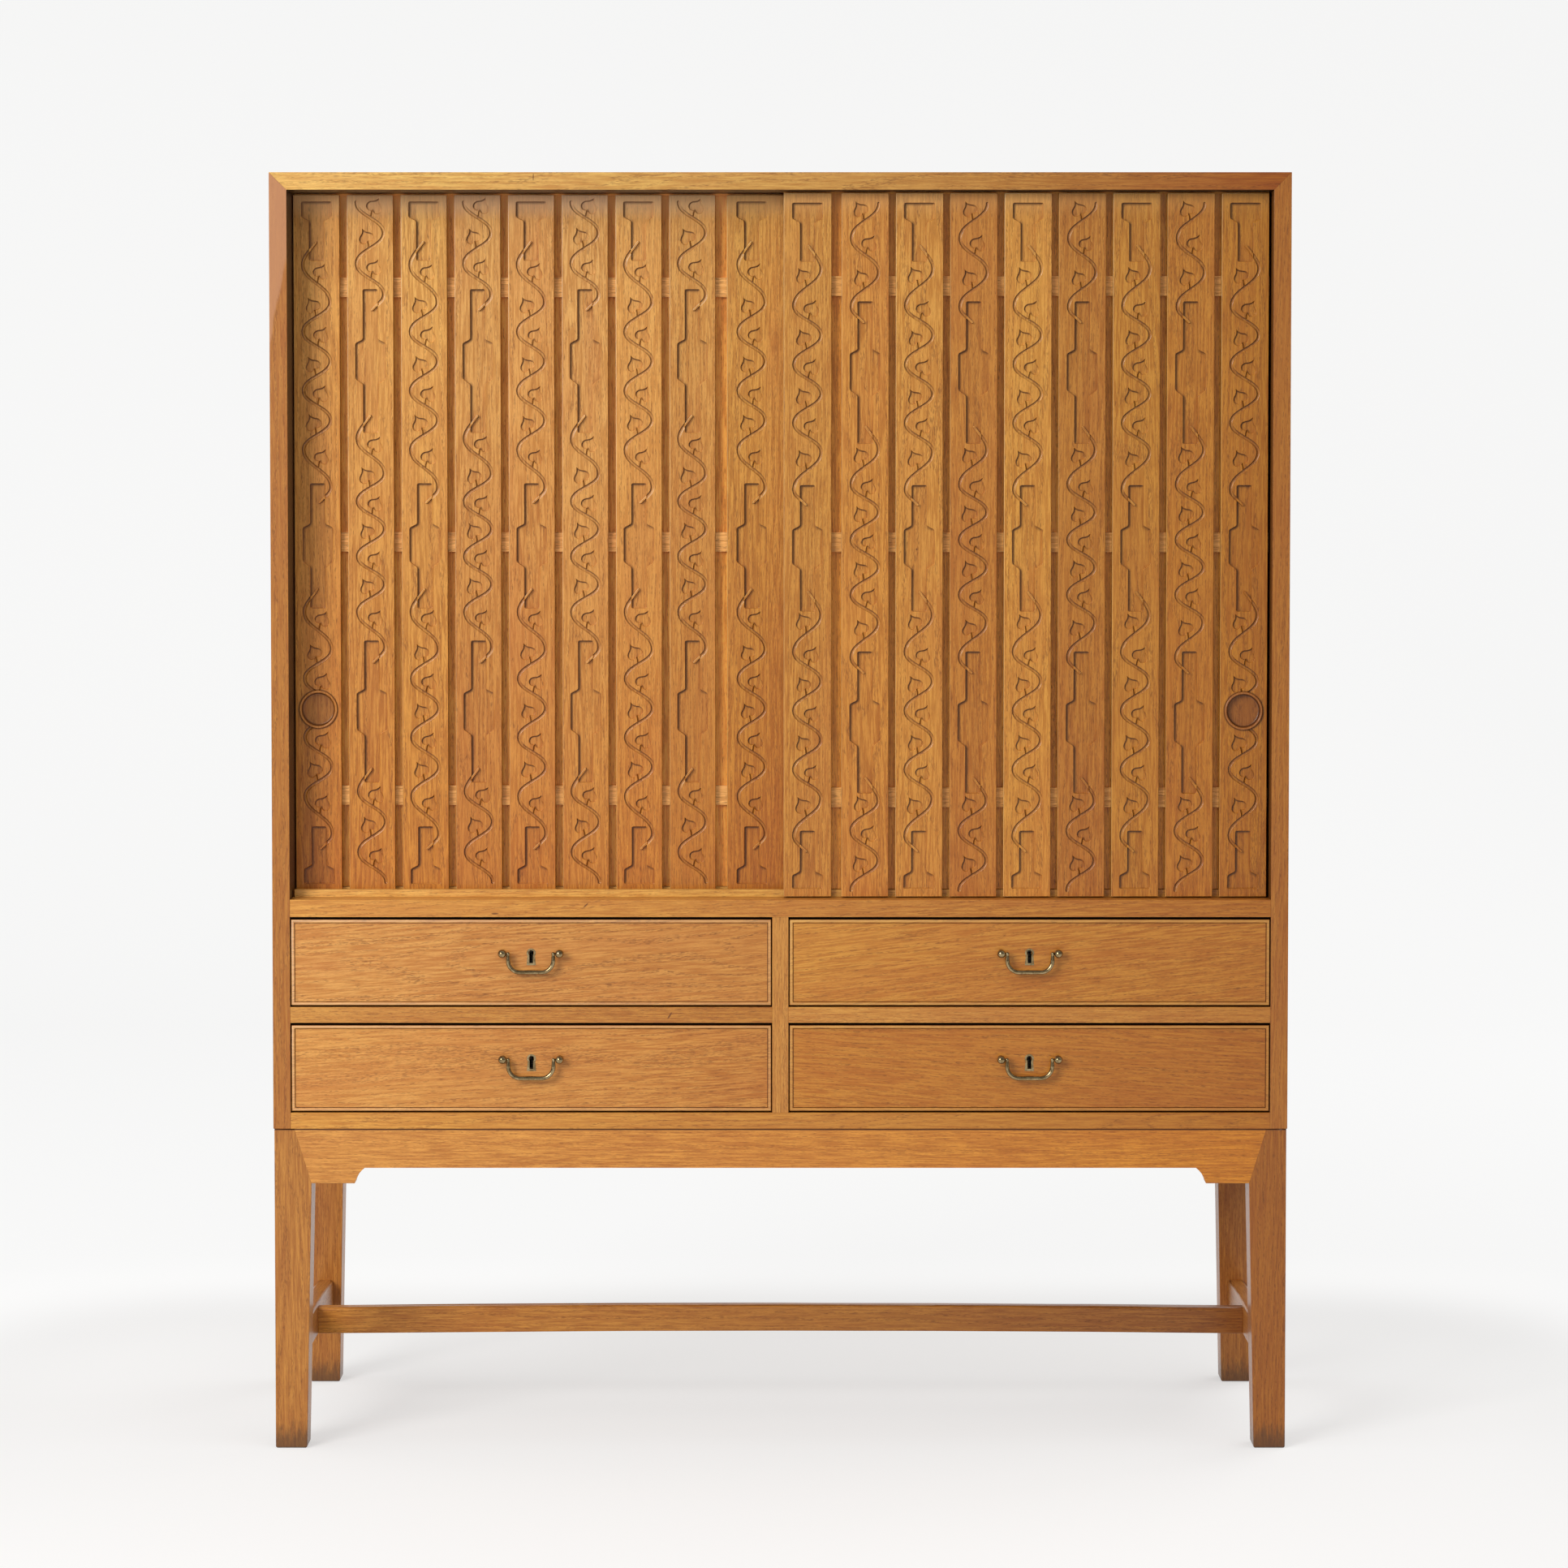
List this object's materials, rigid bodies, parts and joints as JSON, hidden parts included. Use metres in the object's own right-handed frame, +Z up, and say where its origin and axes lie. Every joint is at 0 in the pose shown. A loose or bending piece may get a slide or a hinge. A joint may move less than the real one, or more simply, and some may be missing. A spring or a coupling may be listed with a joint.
{
  "type": "cabinet",
  "caption": "Tall oak cabinet with slatted sliding doors over drawers with brass bail handles, on a stand with tapered legs and stretchers.",
  "frame": {"origin": "on the floor under the middle of the whole cabinet, handles included", "axes": "+X to the right seen from the front, +Y to the back, +Z up"},
  "size_m": [1.28, 0.4554, 1.61],
  "materials": {
    "case_oak": "satin varnished oak, honey brown",
    "door_oak": "satin varnished oak, slightly darker from slat to slat",
    "drawer_oak": "satin varnished oak with a level grain",
    "stand_oak": "satin varnished oak, worn at the feet",
    "inside_wood": "plain sanded wood",
    "antique_brass": "aged brass, olive brown with rubbed highlights",
    "steel": "dull steel"
  },
  "bodies": {
    "cabinet": {"apron_back": "stand_oak", "apron_front": "stand_oak", "apron_sides": "stand_oak", "back_panel": "inside_wood", "base_screws": "steel", "bottom_board": "case_oak", "centre_divider": "case_oak", "corner_blocks": "inside_wood", "deck_board": "case_oak", "door_runners": "case_oak", "drawer_guides": "inside_wood", "drawer_rails": "case_oak", "leg_back_left": "stand_oak", "leg_back_right": "stand_oak", "leg_front_left": "stand_oak", "leg_front_right": "stand_oak", "partition": "inside_wood", "shelf_pins": "inside_wood", "shelves": "inside_wood", "side_left": "case_oak", "side_right": "case_oak", "stretcher_cross": "stand_oak", "stretcher_sides": "stand_oak", "top_board": "case_oak"},
    "left_door": {"left_door_backing": "door_oak", "left_door_cup": "door_oak", "left_door_ledges": "door_oak", "left_door_slats": "door_oak"},
    "lower_left_bail": {"lower_left_drawer_bail": "antique_brass"},
    "lower_left_drawer": {"lower_left_drawer_bottom": "inside_wood", "lower_left_drawer_box": "inside_wood", "lower_left_drawer_escutcheon": "antique_brass", "lower_left_drawer_front": "drawer_oak", "lower_left_drawer_handle_posts": "antique_brass", "lower_left_drawer_lock": "steel"},
    "lower_right_bail": {"lower_right_drawer_bail": "antique_brass"},
    "lower_right_drawer": {"lower_right_drawer_bottom": "inside_wood", "lower_right_drawer_box": "inside_wood", "lower_right_drawer_escutcheon": "antique_brass", "lower_right_drawer_front": "drawer_oak", "lower_right_drawer_handle_posts": "antique_brass", "lower_right_drawer_lock": "steel"},
    "right_door": {"right_door_backing": "door_oak", "right_door_cup": "door_oak", "right_door_ledges": "door_oak", "right_door_slats": "door_oak"},
    "upper_left_bail": {"upper_left_drawer_bail": "antique_brass"},
    "upper_left_drawer": {"upper_left_drawer_bottom": "inside_wood", "upper_left_drawer_box": "inside_wood", "upper_left_drawer_escutcheon": "antique_brass", "upper_left_drawer_front": "drawer_oak", "upper_left_drawer_handle_posts": "antique_brass", "upper_left_drawer_lock": "steel"},
    "upper_right_bail": {"upper_right_drawer_bail": "antique_brass"},
    "upper_right_drawer": {"upper_right_drawer_bottom": "inside_wood", "upper_right_drawer_box": "inside_wood", "upper_right_drawer_escutcheon": "antique_brass", "upper_right_drawer_front": "drawer_oak", "upper_right_drawer_handle_posts": "antique_brass", "upper_right_drawer_lock": "steel"}
  },
  "joints": [
    {"name": "left_door_slide", "type": "slide", "parent": "cabinet", "child": "left_door", "axis": [1, 0, 0], "range_m": [0, 0.6008]},
    {"name": "right_door_slide", "type": "slide", "parent": "cabinet", "child": "right_door", "axis": [-1, 0, 0], "range_m": [0, 0.6192]},
    {"name": "upper_left_drawer_slide", "type": "slide", "parent": "cabinet", "child": "upper_left_drawer", "axis": [0, -1, 0], "range_m": [0, 0.3]},
    {"name": "lower_left_drawer_slide", "type": "slide", "parent": "cabinet", "child": "lower_left_drawer", "axis": [0, -1, 0], "range_m": [0, 0.3]},
    {"name": "upper_right_drawer_slide", "type": "slide", "parent": "cabinet", "child": "upper_right_drawer", "axis": [0, -1, 0], "range_m": [0, 0.3]},
    {"name": "lower_right_drawer_slide", "type": "slide", "parent": "cabinet", "child": "lower_right_drawer", "axis": [0, -1, 0], "range_m": [0, 0.3]},
    {"name": "upper_left_bail_swing", "type": "hinge", "parent": "upper_left_drawer", "child": "upper_left_bail", "pos_m": [-0.31412, -0.22232, 0.6297], "axis": [-1, 0, 0], "range_deg": [-12, 95]},
    {"name": "lower_left_bail_swing", "type": "hinge", "parent": "lower_left_drawer", "child": "lower_left_bail", "pos_m": [-0.31412, -0.22232, 0.4958], "axis": [-1, 0, 0], "range_deg": [-12, 95]},
    {"name": "upper_right_bail_swing", "type": "hinge", "parent": "upper_right_drawer", "child": "upper_right_bail", "pos_m": [0.31412, -0.22232, 0.6297], "axis": [-1, 0, 0], "range_deg": [-12, 95]},
    {"name": "lower_right_bail_swing", "type": "hinge", "parent": "lower_right_drawer", "child": "lower_right_bail", "pos_m": [0.31412, -0.22232, 0.4958], "axis": [-1, 0, 0], "range_deg": [-12, 95]}
  ]
}
